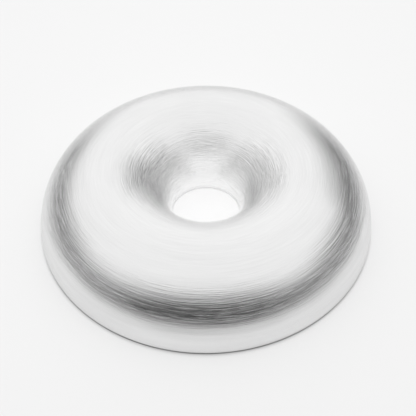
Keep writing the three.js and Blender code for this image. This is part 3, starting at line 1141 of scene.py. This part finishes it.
def make_world():
    """A white studio: a ceiling of light, a white wall behind, a grey screen at the back right, and a
    dark gap under the ceiling's edges, which the metal mirrors as its dark band."""
    world = bpy.data.worlds.new("studio")
    world.use_nodes = True
    bpy.context.scene.world = world
    nodes = Nodes(world.node_tree)
    direction = nodes.add("ShaderNodeTexCoord").outputs["Generated"]
    x, y, _ = nodes.separate(direction)
    level = nodes.math("MAXIMUM", nodes.length(x, y), SMALLEST)
    backwards = nodes.math("DIVIDE", y, level)
    sideways = nodes.math("DIVIDE", nodes.math("ABSOLUTE", x), level)

    wall = nodes.ramp(backwards, *BACK_WALL_FADE)
    screen = nodes.ramp(nodes.dot(direction, SCREEN_TOWARDS), *SCREEN_FADE)
    bright = nodes.product(
        nodes.math("MAXIMUM", ceiling_share(nodes, direction), wall),
        nodes.mix(screen, 1.0, SCREEN_LIGHT),
    )
    ceiling_light = nodes.ramp(y, *CEILING_RISE, CEILING_FRONT_LIGHT, CEILING_BACK_LIGHT)
    gap_light = nodes.mix(nodes.ramp(sideways, *GAP_SIDE_FADE), GAP_FRONT_LIGHT, GAP_SIDE_LIGHT)
    light = nodes.mix(bright, gap_light, ceiling_light)
    shown = nodes.mix(nodes.ray("Is Camera Ray"), light, PAPER_WHITE)
    background = nodes.add("ShaderNodeBackground")
    nodes.plug(nodes.grey(shown), background.inputs["Color"])
    output = nodes.add("ShaderNodeOutputWorld")
    nodes.plug(background.outputs[0], output.inputs["Surface"])


def make_floor_fill():
    """A soft lamp overhead that lights the paper and isn't mirrored."""
    lamp = bpy.data.lights.new("floor_fill", "AREA")
    lamp.shape = "DISK"
    lamp.size = FILL_SIZE
    lamp.energy = FILL_ENERGY
    fill = add_object("floor_fill", lamp)
    fill.location = FILL_PLACE
    fill.visible_glossy = False


def card_mesh():
    """The card's shape: it lines the wall of the hole on the near side, then leans out over the ring."""
    first = -90.0 - CARD_SPREAD
    turns = [math.radians(first + 2 * CARD_SPREAD * i / CARD_STEPS) for i in range(CARD_STEPS + 1)]
    reach = SECTION_RADIUS + CARD_CLEARANCE
    profile = [(CROWN_RADIUS - math.sqrt(reach * reach - z * z), z) for z in CUP_HEIGHTS]
    profile.append((CARD_RADIUS, CARD_TOP))
    count = len(profile)
    vertices = [(r * math.cos(turn), r * math.sin(turn), z) for turn in turns for r, z in profile]
    faces = []
    for i in range(CARD_STEPS):
        here = i * count
        there = here + count
        faces += [(here + j, here + j + 1, there + j + 1, there + j) for j in range(count - 1)]
    mesh = bpy.data.meshes.new("hole_card")
    mesh.from_pydata(vertices, [], faces)
    return mesh


def card_share(nodes):
    """How much of its light the card gives at a point: it fades at its ends, its top and its foot."""
    x, y, z = nodes.separate(nodes.place())
    forwards = nodes.product(y, -1.0)
    turn = nodes.math("DEGREES", nodes.math("ARCTAN2", nodes.math("ABSOLUTE", x), forwards))
    in_cup = nodes.ramp(z, *CUP_TOP, 1.0, 0.0)
    spread = nodes.mix(in_cup, CARD_SPREAD, CUP_SPREAD)
    core = nodes.mix(in_cup, CARD_CORE, CUP_CORE)
    facing = nodes.math("MAXIMUM", nodes.math("COSINE", nodes.math("RADIANS", turn)), 0.0)
    highest = nodes.mix(facing, CARD_SIDE_TOP, CARD_TOP)
    return nodes.product(
        nodes.ramp(turn, spread, core),
        nodes.ramp(z, highest, nodes.math("SUBTRACT", highest, CARD_FADE)),
        nodes.ramp(z, *CUP_FOOT),
    )


def card_material():
    """White light that only mirrored rays see, on the card's inner side. Elsewhere the card is clear."""
    material = bpy.data.materials.new("hole_card")
    material.use_nodes = True
    nodes = Nodes(material.node_tree)
    outer_side = nodes.add("ShaderNodeNewGeometry").outputs["Backfacing"]
    inner_side = nodes.math("SUBTRACT", 1.0, outer_side)
    emission = nodes.add("ShaderNodeEmission")
    emission.inputs["Strength"].default_value = CARD_LIGHT
    clear = nodes.add("ShaderNodeBsdfTransparent")
    blend = nodes.add("ShaderNodeMixShader")
    output = nodes.add("ShaderNodeOutputMaterial")
    seen = nodes.product(card_share(nodes), inner_side, nodes.ray("Is Glossy Ray"))
    nodes.plug_all((seen, clear.outputs[0], emission.outputs[0]), blend.inputs)
    nodes.plug(blend.outputs[0], output.inputs["Surface"])
    return material


def make_hole_card():
    """A curved white card over the near side of the ring: only the metal inside the hole mirrors it."""
    card = add_object("hole_card", card_mesh())
    card.data.materials.append(card_material())
    card.visible_camera = False
    card.visible_diffuse = False
    card.visible_shadow = False


def make_camera():
    """The camera, in front of the ring and above it, with the frame's middle off the ring's centre."""
    data = bpy.data.cameras.new("camera")
    data.lens = CAMERA_LENS
    data.sensor_width = CAMERA_SENSOR
    camera = add_object("camera", data)
    elevation = math.radians(CAMERA_ELEVATION)
    back = Vector((0.0, -math.cos(elevation), math.sin(elevation)))
    up = Vector((0.0, math.sin(elevation), math.cos(elevation)))
    shift = Vector((CAMERA_SHIFT[0], 0.0, 0.0)) + up * CAMERA_SHIFT[1]
    camera.location = back * (CAMERA_DISTANCE * HEAD_RADIUS) + shift * HEAD_RADIUS
    camera.rotation_euler = (math.pi / 2 - elevation, 0.0, 0.0)
    bpy.context.scene.camera = camera


def set_tone():
    """Plain colours: no film look."""
    view = bpy.context.scene.view_settings
    view.view_transform = "Standard"
    view.look = "None"


make_shell()
make_hidden_pieces()
make_floor()
make_world()
make_floor_fill()
make_hole_card()
make_camera()
set_tone()
